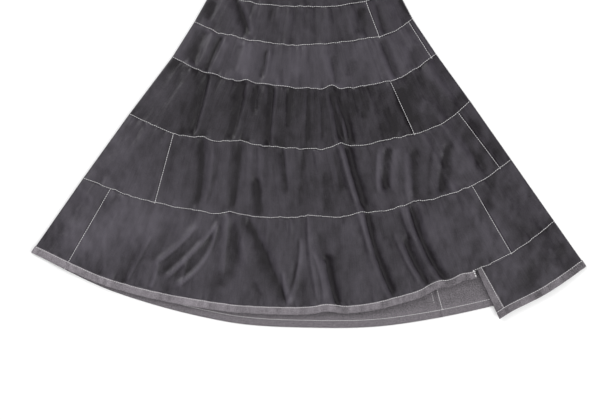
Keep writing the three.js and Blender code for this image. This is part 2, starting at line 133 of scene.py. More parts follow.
# Creases of the front: both ends, how far each bows to the right, its half width and its rise
FRONT_CREASES = table("top_x top_drop foot_x foot_drop bow width rise", [
    (-144, 102, -118, 178, 2, 6, -5),
    (-184, 110, -198, 146, 0, 10, -3),
    (104, 122, 98, 174, 0, 10, -3),
    (136, 114, 150, 174, 0, 6, -3.5),
    (182, 106, 200, 134, 0, 6, -3),
    (-16, 130, -8, 166, 0, 12, -1.2),
    (-72, 126, -62, 174, 0, 10, -1.2),
    (-204, 170, -232, 234, 0, 10, -3.5),
    (-172, 182, -202, 250, -2, 4.4, -5),
    (-134, 198, -148, 248, 0, 6, -2.5),
    (-82, 206, -92, 262, 0, 4, -4.5),
    (-52, 246, -50, 274, 0, 3.6, -2),
    (-34, 250, -34, 278, 0, 3.2, -2),
    (-18, 254, -16, 280, 0, 3.2, -1.5),
    (46, 218, 56, 274, 0, 5.2, -3.5),
    (86, 226, 78, 258, 0, 8, -2.2),
    (116, 230, 112, 266, 0, 6, -1.6),
    (144, 186, 176, 262, -3, 6.4, -4),
    (212, 198, 208, 242, 0, 12, -2.8),
    (-200, 258, -230, 374, 1.2, 4.4, -6),
    (-128, 270, -154, 384, 2, 6, -6),
    (-70, 282, -80, 398, 0, 4.4, -5.5),
    (-102, 278, -106, 330, 0, 3.6, -2.2),
    (-40, 286, -42, 360, 0, 4, -2.4),
    (-20, 290, -24, 342, 0, 3.6, -1.6),
    (0, 290, -4, 392, 0, 4.4, -3),
    (26, 298, 28, 386, 0, 4, -2),
    (44, 290, 62, 386, 1, 4.8, -4.5),
    (52, 282, 86, 394, 1.6, 5.2, -6),
    (112, 306, 108, 342, 0, 6, -2),
    (152, 326, 176, 374, 0, 6, -1.4),
    (176, 286, 200, 354, 0, 12, -3),
    (256, 250, 296, 306, 0, 8, -1.5),
    (-214, 382, -222, 518, 6, 8, -3.5),
    (-180, 394, -200, 512, 6, 5, -1.6),
    (-136, 394, -150, 522, 2, 7, -4.2),
    (-102, 462, -92, 534, 0, 9, -3.6),
    (-50, 406, -42, 494, 0, 4.8, -3.6),
    (-80, 406, -84, 486, 0, 5, -1.4),
    (-10, 406, -18, 516, 0, 5, -1.8),
    (32, 450, 34, 532, 0, 8, -2.6),
    (50, 406, 66, 486, 0, 5.6, -3),
    (74, 394, 112, 524, -3, 6.4, -7),
    (158, 402, 150, 486, -2, 7.2, -4.2),
    (210, 406, 214, 510, -2, 8, -4),
    (182, 426, 182, 506, 0, 5, -1.5),
    (278, 394, 264, 490, -3, 6.8, -3.6),
    (244, 406, 240, 498, 0, 5, -1.5),
    (306, 370, 348, 454, 0, 6, -2.2),
    (328, 406, 356, 450, 0, 5, -1.5),
    (114, 528, 170, 698, -6, 6, -7),
    (202, 516, 270, 666, -8, 5.6, -6.5),
    (190, 582, 240, 678, -4, 5.6, -5),
    (36, 618, 58, 718, -2, 6.4, -7),
    (-122, 542, -48, 706, 3, 9, -5),
    (-148, 556, -172, 682, 14, 13, -3.6),
    (-280, 554, -316, 630, 6, 10, -2.5),
    (-216, 578, -296, 654, 4, 8, -3.2),
    (-192, 578, -260, 662, 10, 10, -3.6),
    (-316, 586, -368, 674, 0, 8, -1.8),
    (-22, 630, -32, 698, 0, 7, -2.6),
    (20, 570, 34, 630, 0, 8, -2),
    (-110, 670, -92, 698, 0, 4, -1.6),
    (140, 542, 152, 586, 0, 6, -2),
    (176, 534, 204, 586, 0, 6, -1.5),
    (-160, 190, -182, 246, 0, 6, 2.2),
    (-116, 194, -124, 258, 0, 10, 1.6),
    (30, 214, 38, 266, 0, 8, 1.4),
    (64, 298, 74, 382, 0, 3.6, 2),
    (230, 242, 292, 302, 0, 14, 3.2),
    (232, 306, 224, 330, 0, 10, 2),
    (64, 398, 96, 510, 0, 6, 3),
    (142, 402, 140, 490, -3, 4.4, 2.4),
    (172, 402, 166, 486, -2, 4.4, 1.6),
    (194, 406, 198, 498, 0, 5.2, 1.6),
    (258, 390, 244, 486, -4, 5.2, 1.8),
    (294, 386, 284, 486, 0, 6, 1.5),
    (-158, 398, -168, 516, 0, 6, 1.6),
    (-190, 398, -210, 516, 6, 5, 1.4),
    (-116, 406, -118, 516, 0, 8, 1.2),
    (-312, 578, -362, 668, 0, 3.6, 2.4),
    (-222, 558, -300, 630, 4, 3.6, 3),
    (-300, 630, -314, 682, 3, 3.6, 2.6),
    (-182, 556, -280, 660, 3, 3.6, 3.4),
    (-182, 556, -262, 678, 18, 3.6, 3),
    (-160, 530, -170, 656, 0, 5.2, 3.6),
    (-138, 536, -124, 630, -2, 6, 1.8),
    (-50, 650, -40, 712, -2, 4, 2.4),
    (-14, 586, -40, 712, 6, 4.4, 3),
    (0, 538, 20, 706, -4, 4.8, 2.8),
    (10, 610, 32, 706, 4, 4, 2),
    (100, 530, 128, 610, 0, 7, 2.2),
    (186, 518, 212, 586, -4, 5, 2.2),
    (172, 570, 220, 666, -4, 5, 2),
    (-244, 630, -256, 682, 0, 4, 1.6),
    (-416, 558, -448, 610, 0, 10, 1.2),
])

# Creases of the back, which lift it a little off the ground between where it is pressed flat
BACK_CREASES = table("top_x top_drop foot_x foot_drop bow width rise", [
    (-60, 150, -90, 240, 4, 9, 0.7),
    (70, 160, 96, 262, -5, 8, 0.8),
    (-140, 220, -190, 330, 6, 10, 0.8),
    (10, 250, 4, 352, 0, 8, 0.6),
    (150, 260, 196, 372, -4, 9, 0.8),
    (-230, 330, -284, 420, 5, 11, 0.7),
    (-90, 350, -112, 470, 3, 9, 0.9),
    (90, 370, 110, 480, -4, 10, 0.7),
    (240, 380, 300, 470, -6, 9, 0.8),
    (-300, 460, -366, 560, 6, 12, 0.8),
    (-150, 490, -176, 612, 4, 10, 0.9),
    (20, 500, 16, 640, 3, 11, 0.8),
    (200, 500, 250, 626, -7, 10, 0.9),
    (350, 500, 410, 590, -5, 12, 0.7),
    (-60, 620, -66, 700, 0, 9, 0.6),
    (120, 640, 138, 710, 0, 10, 0.6),
])

# Gathers at the front seams: their rise and two unequal spacings
GATHERS = table("line rise spacing long_spacing", [
    (1, 1.2, 27, 44),
    (2, 1.0, 41, 67),
    (3, 1.1, 39, 61),
    (4, 1.8, 37, 58),
    (5, 1.5, 42, 71),
    (6, 1.7, 46, 77),
])
MIDDLE_FOLD = -46.0   # x about which the creases' steep sides change over
CREASE_END = 0.07     # how far a crease fades out past its ends, as a share of its length
CREASE_FADE = 0.16    # and over how much of its length it does so
NARROW_RIDGE = 4.5    # half width below which a ridge catches more light
NARROW_RIDGE_SHEEN = 1.6
GATHER_BELOW = 75.0
GATHER_ABOVE = 22.0
ELASTIC_RISE = 1.3
ELASTIC_SPACING = 21.0
ELASTIC_FADE = 14.0

# Sheen patches of the front, where the cloth lies to or from the light: middle, reach and change of tone
SHEEN_PATCHES = table("x drop reach_x reach_drop tone", [
    (-300, 300, 36, 34, 0.20),
    (200, 306, 34, 44, -0.08),
    (-340, 430, 60, 60, 0.05),
    (-206, 226, 40, 40, -0.24),
    (-196, 126, 24, 24, -0.16),
    (424, 630, 60, 40, -0.10),
    (-440, 500, 30, 26, 0.16),
    (-360, 545, 120, 60, 0.42),
    (-206, 634, 24, 30, 0.12),
    (86, 576, 34, 34, 0.12),
    (-20, 610, 60, 40, 0.08),
    (-440, 580, 60, 50, 0.12),
    (394, 616, 34, 36, 0.12),
    (468, 604, 34, 40, -0.12),
    (60, 610, 60, 60, -0.10),
    (90, 470, 46, 70, -0.06),
    (370, 520, 50, 40, -0.08),
    (-60, 160, 70, 30, 0.03),
    (330, 362, 14, 20, -0.12),
    (356, 396, 14, 20, -0.12),
    (380, 432, 14, 20, -0.10),
    (196, 118, 12, 34, -0.10),
])
# Painted sheen of the front between each line and the next: lighter or darker from how the cloth's grain lies
# to the light there
LEVEL_SHEEN = np.array([0.0, 0.0, 0.03, 0.20, -0.15, 0.04, 0.05, 0.02])
FRONT_TONE = 0.285
BACK_TONE = 0.27
FOLD_TONE = 0.33
CREASE_PAINTED_SHADE = 0.085   # change of tone for a millimetre of a crease's rise: painted shade in a trough, painted highlight on a ridge
SOFT_REACH = 0.7      # how gently the front's height levels off where it nears the back


def mix(a, b, share):
    return a + (b - a) * share


def smooth(share):
    s = np.clip(share, 0, 1)
    return s * s * (3 - 2 * s)


def bell(u):
    return np.exp(-u * u)


def noise_1d(s, cell, seed):
    """Smooth random values from -1 to 1 along a length."""
    values = np.random.RandomState(seed).uniform(-1, 1, 1024)
    place = np.asarray(s, dtype=float) / cell
    i = np.floor(place).astype(int)
    return mix(values[i % 1024], values[(i + 1) % 1024], smooth(place - i))


def noise_2d(x, y, cell_x, cell_y, seed):
    """Smooth random values from -1 to 1 over a surface."""
    values = np.random.RandomState(seed).uniform(-1, 1, (256, 256))
    a, b = x / cell_x, y / cell_y
    i, j = np.floor(a).astype(int), np.floor(b).astype(int)
    s, t = smooth(a - i), smooth(b - j)
    low = mix(values[i % 256, j % 256], values[(i + 1) % 256, j % 256], s)
    high = mix(values[i % 256, (j + 1) % 256], values[(i + 1) % 256, (j + 1) % 256], s)
    return mix(low, high, t)


def drop_at(drops, place):
    """A smooth curve through the eight drops of a line."""
    drops = np.asarray(drops, dtype=float)
    i = np.clip(np.searchsorted(PLACES, place) - 1, 0, len(PLACES) - 2)
    before = np.maximum(np.arange(len(PLACES)) - 1, 0)
    after = np.minimum(np.arange(len(PLACES)) + 1, len(PLACES) - 1)
    slope = (drops[after] - drops[before]) / (PLACES[after] - PLACES[before])
    span = PLACES[i + 1] - PLACES[i]
    t = (place - PLACES[i]) / span
    leave = t * (1 - t) ** 2 * span * slope[i]
    arrive = t * t * (1 - t) * span * slope[i + 1]
    return mix(drops[i], drops[i + 1], t * t * (3 - 2 * t)) + leave - arrive


def front_line(index, place):
    left, right, drops = FRONT_LINES[index]
    x = mix(left, right, place)
    drop = drop_at(drops, place)
    for line, at, rise, width in zip(*SEAM_RIPPLES.values()):
        if line == index:
            drop = drop - rise * bell((x - at) / width)
    uneven = 1.3 * noise_1d(x, 13, 100 + index) + 0.5 * noise_1d(x, 5, 120 + index)
    return x, drop + uneven * SEAM_WANDER[index] * smooth(8 * place) * smooth(8 * (1 - place))


def back_line(index, place):
    left, right, drops = BACK_LINES[index]
    return mix(left, right, place), drop_at(drops, place)


def width_of(line, index):
    rows = FRONT_LINES if line is front_line else BACK_LINES
    return rows[index][1] - rows[index][0]


LEFT_EDGE = np.array([(row[2][0], row[0]) for row in FRONT_LINES[:8]], dtype=float)
RIGHT_EDGE = np.array([(row[2][-1], row[1]) for row in FRONT_LINES], dtype=float)


def edge_x(edge, drop):
    """x of a side fold at a drop."""
    i = np.clip(np.searchsorted(edge[:, 0], drop) - 1, 0, len(edge) - 2)
    share = (drop - edge[i, 0]) / (edge[i + 1, 0] - edge[i, 0])
    return mix(edge[i, 1], edge[i + 1, 1], share)


def crease_fields(x, drop, creases):
    """Height that the creases give the cloth, and their shade. Each is steep on the side towards the
    middle fold and slack on the other, with shallow shoulders of the other sense."""
    height, shade = np.zeros_like(x), np.zeros_like(x)
    for top_x, top_drop, foot_x, foot_drop, bow, width, rise in zip(*creases.values()):
        along_x, along_drop = foot_x - top_x, foot_drop - top_drop
        length = np.hypot(along_x, along_drop)
        t = ((x - top_x) * along_x + (drop - top_drop) * along_drop) / length**2
        aside = ((x - top_x) * along_drop - (drop - top_drop) * along_x) / length
        slack_side = 1 if top_x + foot_x > 2 * MIDDLE_FOLD else -1
        v = slack_side * (aside - bow * 4 * t * (1 - t)) / width
        near = (t > -CREASE_END) & (t < 1 + CREASE_END) & (np.abs(v) < 8)
        if not near.any():
            continue
        v, t = v[near], t[near]
        strength = rise * smooth((t + CREASE_END) / CREASE_FADE) * smooth((1 + CREASE_END - t) / CREASE_FADE)
        u = np.where(v > 0, v / 1.8, v)
        height[near] += strength * (bell(u) - 0.35 * (bell(u - 2) + bell(u + 2)))
        sheen = NARROW_RIDGE_SHEEN if rise > 0 and width < NARROW_RIDGE else 1
        shading = bell(np.where(v > 0, v / 1.7, v / 0.55)) - 0.25 * bell((v + 1.4) / 0.8)
        shade[near] += sheen * strength * shading
    return height, shade


def gather_height(index, x):
    """Height of the broad gathers at a front seam."""
    rows = GATHERS["line"] == index
    if not rows.any():
        return np.zeros_like(x)
    rise, spacing, long_spacing = (GATHERS[name][rows][0] for name in ("rise", "spacing", "long_spacing"))
    turn = 2 * np.pi * x
    return rise * (0.6 * np.sin(turn / spacing + index) + 0.4 * np.sin(turn / long_spacing + 2 * index))


def pucker_height(level, along, down, depth, strength):
    """Fine uneven puckers that run down from a gathered seam, and short ones above the next."""
    streaks = 0.65 * noise_1d(along, 6.5, 11 + level) + 0.35 * noise_1d(along, 3.4, 31 + level)
    reach = mix(26, 60, 0.5 + 0.5 * noise_1d(along, 19, 51 + level))
    ticks = noise_1d(along, 5.0, 71 + level)
    below = smooth(down / 3) * np.exp(-down / reach)
    above = smooth((depth - down) / 2) * np.exp(-np.abs(depth - down) / 11)
    slack = noise_2d(along, down + 400 * level, 11, 95, 4) * smooth(down / 10)
    return strength * (streaks * below + 1.1 * ticks * above + 0.75 * slack)


def crumple_height(x, drop, strength):
    """The faint crumple of crisp cloth: soft swells with sharper ridges on them."""
    swell = noise_2d(x, drop, 34, 52, 5)
    ridge = 1 - 2 * np.abs(noise_2d(x + 0.3 * drop, drop, 17, 27, 6))
    fine = 1 - 2 * np.abs(noise_2d(x - 0.4 * drop, drop, 8, 13, 7))
    return strength * (0.5 * swell + 0.3 * ridge + 0.16 * fine)


def front_cloth(level, x, drop, along, down, depth, sizes):
    """Middle of the solid's wall over the front, and the tone of the cloth there, with its painted shade and
    sheen.
    """
    edge = np.minimum(x - edge_x(LEFT_EDGE, drop), edge_x(RIGHT_EDGE, drop) - x)
    inside = smooth(2 * edge / EDGE_RISE)
    base = mix(EDGE_HEIGHT, sizes.body_height, smooth(edge / EDGE_RISE))
    creases, shade = crease_fields(x, drop, FRONT_CREASES)
    gathers = gather_height(level, x) * (1 - smooth(down / GATHER_BELOW))
    gathers = gathers + gather_height(level + 1, x) * (1 - smooth((depth - down) / GATHER_ABOVE))
    puckered = 0.25 if level >= HEM_STITCHING else 1
    puckers = pucker_height(level, along, down, depth, sizes.pucker * puckered)
    restless = 1 + 0.9 * smooth((np.abs(x + 30) - 240) / 160)
    crumple = crumple_height(x, drop, sizes.crumple * restless)
    if level == WAIST:
        ruffles = np.sin(2 * np.pi * x / ELASTIC_SPACING) + 0.8 * noise_1d(x, 7, 91)
        gathers = gathers + ELASTIC_RISE * ruffles * smooth((depth - down) / ELASTIC_FADE)
    height = base + inside * (0.6 * creases + gathers + puckers) + smooth(edge / 12) * crumple
    height = LEAST_HEIGHT + SOFT_REACH * np.logaddexp(0, (height - LEAST_HEIGHT) / SOFT_REACH)
    shimmer = 0.09 * noise_2d(x + 0.2 * drop, drop, 24, 40, 21)
    shimmer = shimmer + 0.07 * noise_2d(x, drop + 0.3 * x, 7, 15, 22)
    # Each tier's painted sheen, and the shimmer
    tone = FRONT_TONE + LEVEL_SHEEN[level] + shimmer * restless
    # Painted shade down the creases' troughs and painted highlight along their ridges
    tone = tone + CREASE_PAINTED_SHADE * np.where(shade > 0, 1.1 * shade, shade)
    # Painted shade in the low parts and painted highlight on the rises of the puckers, gathers and crumples
    tone = tone + 0.07 * puckers + 0.03 * gathers + 0.10 * crumple
    for at_x, at_drop, reach_x, reach_drop, change in zip(*SHEEN_PATCHES.values()):
        tone = tone + change * bell((x - at_x) / reach_x) * bell((drop - at_drop) / reach_drop)
    return height, tone


def rise_onto_hem(level, down, depth):
    """How far the back has come up onto its turned hem, from 0 to 1."""
    past = down - depth if level == HEM_STITCHING else np.full_like(down, -HEM_RAMP)
    return smooth((past + HEM_RAMP) / HEM_RAMP)


def back_cloth(level, x, drop, along, down, depth, sizes):
    """Middle of the solid's wall over the back, which lies on the ground and on its turned hem."""
    step = rise_onto_hem(level, down, depth)
    lift, _ = crease_fields(x, drop, BACK_CREASES)
    lift = np.clip(lift + 0.35 + crumple_height(x, drop, 0.5 * sizes.crumple), 0, 1.1) * (1 - step)
    height = CLOTH / 2 + (TURN_CLOTH + SEAM_GAP) * step + lift * smooth(down / 6) * smooth((depth - down) / 6)
    # Painted highlight where the creases lift the back off the ground, and paler where it rises onto its
    # turned hem
    return height, BACK_TONE + 0.12 * lift + 0.16 * step


LEFT, RIGHT = "left", "right"   # ends of a run at a side fold

# Runs of a piece: each gives x, drop, height, tone, down, depth and facing for every column and row.
# Facing is 1 where the cloth's outside is up, on the front, and -1 where it is down.

def run_over(line, cloth, level, starts, ends, step):
    """A run over the front or the back, between two lines and two ends, in the strip's direction."""
    starts, ends = (
        side_room(line, level, end == RIGHT) if end in (LEFT, RIGHT) else end for end in (starts, ends)
    )

    def lay(rows_of, sizes):
        lengths = [abs(ends[i] - starts[i]) * width_of(line, level + i) for i in (0, 1)]
        count = max(2, int(np.ceil(max(lengths) / step)))
        share = np.linspace(0, 1, count + 1)
        above, below = mix(starts[0], ends[0], share), mix(starts[1], ends[1], share)
        top_x, top_drop = line(level, above)
        foot_x, foot_drop = line(level + 1, below)
        depth = np.hypot(foot_x - top_x, foot_drop - top_drop)[:, None]
        down = rows_of(depth)
        t = down / depth
        x = mix(top_x[:, None], foot_x[:, None], t)
        drop = mix(top_drop[:, None], foot_drop[:, None], t)
        along = above[:, None] * width_of(line, level) + np.zeros_like(down)
        height, tone = cloth(level, x, drop, along, down, depth, sizes)
        facing = np.full_like(down, 1.0 if cloth is front_cloth else -1.0)
        return x, drop, height, tone, down, depth + np.zeros_like(down), facing
    return lay


FOLD_ROOM = FOLD_REACH + CLOTH / 2


def side_room(line, level, on_right):
    """The shares of a line at which a side fold begins."""
    shares = [FOLD_ROOM / width_of(line, level + i) for i in (0, 1)]
    return tuple(1 - share for share in shares) if on_right else tuple(shares)


def side_fold(front_level, back_level, on_right):
    """The half turn of the strip round a side fold."""
    def lay(rows_of, sizes):
        turn = np.arange(1, FOLD_TURNS) / FOLD_TURNS
        turn = turn if on_right else turn[::-1]
        end = 1.0 if on_right else 0.0

        def column(line, level, shares):
            top, foot = line(level, shares[0]), line(level + 1, shares[1])
            return top, foot, np.hypot(foot[0] - top[0], foot[1] - top[1])

        top, foot, depth = column(front_line, front_level, (end, end))
        down = rows_of(np.full((len(turn), 1), depth))
        share = down / depth
        plan = []
        for line, level, shares in (
            (front_line, front_level, side_room(front_line, front_level, on_right)),
            (back_line, back_level, side_room(back_line, back_level, on_right)),
        ):
            a, b, _ = column(line, level, shares)
            plan.append([mix(a[i], b[i], share) for i in (0, 1)])
        angle = np.pi * turn[:, None]
        bulge = np.sin(angle) * FOLD_REACH / FOLD_ROOM
        x, drop = (
            mix(mix(front, back, angle / np.pi), mix(above, below, share), bulge)
            for front, back, above, below in zip(*plan, top, foot)
        )
        low = CLOTH / 2 + (TURN_CLOTH + SEAM_GAP) * rise_onto_hem(back_level, down, depth)
        height = mix(low, EDGE_HEIGHT, 0.5 + np.cos(angle) / 2)
        facing = np.cos(angle) + np.zeros_like(x)
        return x, drop, height, np.full_like(x, FOLD_TONE), down, np.full_like(x, depth), facing
    return lay


def front_run(level, starts, ends, sizes):
    return run_over(front_line, front_cloth, level, starts, ends, sizes.column_step)


def back_run(level, starts, ends, sizes):
    return run_over(back_line, back_cloth, level, starts, ends, 3 * sizes.column_step)


def winding(index, start, end, sizes):
    """A piece from a join on the front's right, round the back and onto the front a turn higher."""
    return [
        front_run(index, JOINS[start], RIGHT, sizes),
        side_fold(index, index, True),
        back_run(index, RIGHT, LEFT, sizes),
        side_fold(index - 1, index, False),
        front_run(index - 1, LEFT, JOINS[end], sizes),
    ]


def ring(index, sizes):
    """A closed ring of the waistband or the yoke."""
    return [
        front_run(index, LEFT, RIGHT, sizes),
        side_fold(index, index, True),
        back_run(index, RIGHT, LEFT, sizes),
        side_fold(index, index, False),
    ]


def first_strip(sizes):
    return [
        front_run(YOKE_FOOT, JOINS["yoke_right"], RIGHT, sizes),
        side_fold(YOKE_FOOT, YOKE_FOOT, True),
        back_run(YOKE_FOOT, RIGHT, STRIP_TIP, sizes),
    ]


def back_hem_strip(sizes):
    return [
        back_run(HEM_STITCHING, JOINS["back_hem"], LEFT, sizes),
        side_fold(LAST_TIER, HEM_STITCHING, False),
        front_run(LAST_TIER, LEFT, JOINS["hem_left"], sizes),
    ]


def last_strip(sizes):
    return [
        front_run(HEM_STITCHING, STRIP_END, RIGHT, sizes),
        side_fold(HEM_STITCHING, HEM_STITCHING, True),
        back_run(HEM_STITCHING, RIGHT, JOINS["back_hem"], sizes),
    ]


HEM_TONE_SLOPE = 0.0003   # how much paler the turned hem gets for each millimetre to the left
HEM_JOIN_X = mix(*FRONT_LINES[HEM_STITCHING][:2], JOINS["hem_left"][1])
HEM_STOP = (FRONT_HEM_END, FRONT_HEM_END)
PAST_HEM_STOP = (FRONT_HEM_END + 0.003, FRONT_HEM_END + 0.003)


def hemmed_front(sizes):
    return front_run(LAST_TIER, JOINS["hem_left"], HEM_STOP, sizes)


def front_hem_strip(sizes):
    return [hemmed_front(sizes), front_run(LAST_TIER, PAST_HEM_STOP, JOINS["hem_right"], sizes)]


def short_of_hem_stop(grid):
    """The cells of strip 7 that are cloth: there is no turned hem past the place where it stops."""
    share = (grid["x"][:, 0] - FRONT_LINES[LAST_TIER][0]) / width_of(front_line, LAST_TIER)
    past_stop = share[:-1] > FRONT_HEM_END - 1e-4
    in_hem = (grid["down"] > grid["depth"] - 0.01)[:-1, :-1]
    return ~(past_stop[:, None] & in_hem)


STRIPS = {
    "strip_1": first_strip,
    "strip_2": lambda sizes: winding(3, "side_right", "yoke_right", sizes),
    "strip_3": lambda sizes: winding(4, "hip_right", "side_right", sizes),
    "strip_4": lambda sizes: winding(5, "thigh_right", "hip_right", sizes),
    "strip_5": lambda sizes: [front_run(5, JOINS["thigh_left"], JOINS["thigh_right"], sizes)],
    "strip_6": lambda sizes: winding(6, "hem_right", "thigh_left", sizes),
    "strip_7": front_hem_strip,
    "strip_8": back_hem_strip,
    "strip_9": last_strip,
}
HEMMED = ("strip_7", "strip_8", "strip_9")
# The pieces whose start, or whose end, lies uppermost at a join and carries its stitching
STITCHED_STARTS = ("strip_3", "strip_5", "strip_7", "strip_8")
STITCHED_ENDS = ("strip_2", "strip_3", "strip_5", "strip_7")


def lay_out(runs, rows_of, sizes):
    """All the runs of a piece side by side: arrays of columns by rows."""
    parts = [run(rows_of, sizes) for run in runs]
    names = ("x", "drop", "height", "tone", "down", "depth", "facing")
    return {name: np.concatenate([part[i] for part in parts]) for i, name in enumerate(names)}


def settle(grid, closed, hemmed):
    """Tucks a piece's upper edge and its ends in, and lifts its lower edge onto the next piece."""
    facing, above_edge = grid["facing"], np.abs(grid["depth"] - grid["down"])
    sunk = 0.6 * np.exp(-grid["down"] / 1.6)
    if not hemmed:
        sunk = sunk - 0.5 * np.exp(-above_edge / 4) * (facing > 0)
    if not closed:
        for end in (0, -1):
            off = np.hypot(grid["x"] - grid["x"][end], grid["drop"] - grid["drop"][end])
            on_this_side = facing * facing[end] > 0
            sunk = sunk + 0.5 * np.exp(-off / 1.5) * on_this_side
    grid["height"] = grid["height"] - facing * sunk
    return grid


def middle_and_outward(grid, closed):
    """Points of the wall's middle in the shared frame, and their outward directions."""
    middle = np.stack([grid["x"] - CENTRE_X, LENGTH / 2 - grid["drop"], grid["height"]], axis=-1)
    if closed:
        padded = np.concatenate([middle[-1:], middle, middle[:1]])
        along = (padded[2:] - padded[:-2]) / 2
    else:
        along = np.gradient(middle, axis=0)
    outward = np.cross(np.gradient(middle, axis=1), along)
    return middle, outward / np.linalg.norm(outward, axis=-1, keepdims=True)


def even_rows(runs, sizes, hemmed):
    """Rows from the upper edge to the lower one, closer together at a seam, and on down into a hem."""
    edge = np.array([0.06, 0.5, 1.2, 2.4])
    edges = lay_out(runs, lambda depth: np.concatenate([0 * depth, depth], axis=1), sizes)
    typical = float(np.median(edges["depth"]))
    count = max(2, int(round((typical - 8) / sizes.row_step)))

    def rows_of(depth):
        share = np.linspace(0, 1, count + 1)
        middle = mix(4.0, depth - 4.0, share) if typical > 12 else mix(0.3 * depth, 0.7 * depth, share)
        scale = np.minimum(1, depth / 12)
        rows = [edge * scale, middle, depth - edge[::-1] * scale]
        if hemmed:
            turned = np.linspace(0, HEM_TURN, 6)[1:] + np.zeros_like(depth)
            rows.append(depth + turned)
        return np.concatenate([row + np.zeros_like(depth) for row in rows], axis=1)
    return rows_of


def cloth_object(name, grid, offset, thin, closed=False, keep=None):
    """A thin closed shell through a grid. offset moves its middle outwards from the solid's middle."""
    middle, outward = middle_and_outward(grid, closed)
    columns, rows = grid["x"].shape
    offset = np.broadcast_to(offset, (columns, rows))[..., None]
    outer = middle + outward * (offset + thin / 2)
    inner = middle + outward * (offset - thin / 2)
    points = np.concatenate([outer.reshape(-1, 3), inner.reshape(-1, 3)]) * MM
    cells = np.ones((columns if closed else columns - 1, rows - 1), dtype=bool)
    if keep is not None:
        cells &= keep
    i, j = np.nonzero(cells)
    right = (i + 1) % columns
    back = columns * rows

    def at(column, row, shift=0):
        return column * rows + row + shift

    a, b, c, d = at(i, j), at(i, j + 1), at(right, j + 1), at(right, j)
    faces = [np.stack([a, b, c, d], axis=1), np.stack([a, d, c, b], axis=1) + back]
    sides = ((-1, 0, a, b), (1, 0, c, d), (0, -1, d, a), (0, 1, b, c))
    for step_i, step_j, start, end in sides:
        beside_i, beside_j = i + step_i, j + step_j
        if closed:
            beside_i = beside_i % columns
        within = (beside_i >= 0) & (beside_i < cells.shape[0]) & (beside_j >= 0) & (beside_j < cells.shape[1])
        joined = np.zeros(len(i), dtype=bool)
        joined[within] = cells[beside_i[within], beside_j[within]]
        open_side = ~joined
        s, e = start[open_side], end[open_side]
        faces.append(np.stack([e, s, s + back, e + back], axis=1))
    is_outer = np.zeros(sum(len(f) for f in faces), dtype=bool)
    is_outer[: len(faces[0])] = True
    faces = np.concatenate(faces)

    run_length = np.linalg.norm(np.diff(middle[:, rows // 2], axis=0), axis=1)
    u = np.concatenate([[0], np.cumsum(run_length)])[:, None] + np.zeros((1, rows))
    uv = np.tile(np.stack([u, grid["down"]], axis=-1).reshape(-1, 2) * MM, (2, 1))
    tone = np.tile(grid["tone"].reshape(-1), 2)

    used = np.unique(faces)
    renumber = np.full(len(points), -1)
    renumber[used] = np.arange(len(used))
    mesh = bpy.data.meshes.new(name)
    mesh.from_pydata(points[used].tolist(), [], renumber[faces].tolist())
    layer = mesh.uv_layers.new(name="cloth")
    layer.data.foreach_set("uv", uv[faces.reshape(-1)].astype(np.float32).reshape(-1))
    attribute = mesh.attributes.new("tone", "FLOAT", "POINT")
    attribute.data.foreach_set("value", tone[used].astype(np.float32))
    mesh.polygons.foreach_set("material_index", np.where(is_outer, 0, 1).astype(np.int32))
    mesh.polygons.foreach_set("use_smooth", np.ones(len(faces), dtype=bool))
    mesh.update()
    piece = bpy.data.objects.new(name, mesh)
    bpy.context.scene.collection.objects.link(piece)
    return piece


def linear(hex_colour):
    """An sRGB hex colour as linear red, green, blue and alpha."""
    parts = [int(hex_colour[i : i + 2], 16) / 255 for i in (1, 3, 5)]
    return tuple(p / 12.92 if p <= 0.04045 else ((p + 0.055) / 1.055) ** 2.4 for p in parts) + (1.0,)


def node(tree, kind, inputs=None, **settings):
    """Adds a node with its settings, and sets or links its inputs."""
    added = tree.nodes.new(kind)
    for name, value in settings.items():
        setattr(added, name, value)
    for name, value in (inputs or {}).items():
        if isinstance(value, bpy.types.NodeSocket):
            tree.links.new(value, added.inputs[name])
        else:
            added.inputs[name].default_value = value
    return added


def empty_material(name):
    """A new material and its tree, with no nodes yet."""
    material = bpy.data.materials.new(name)
    material.use_nodes = True
    tree = material.node_tree
    tree.nodes.clear()
    return material, tree


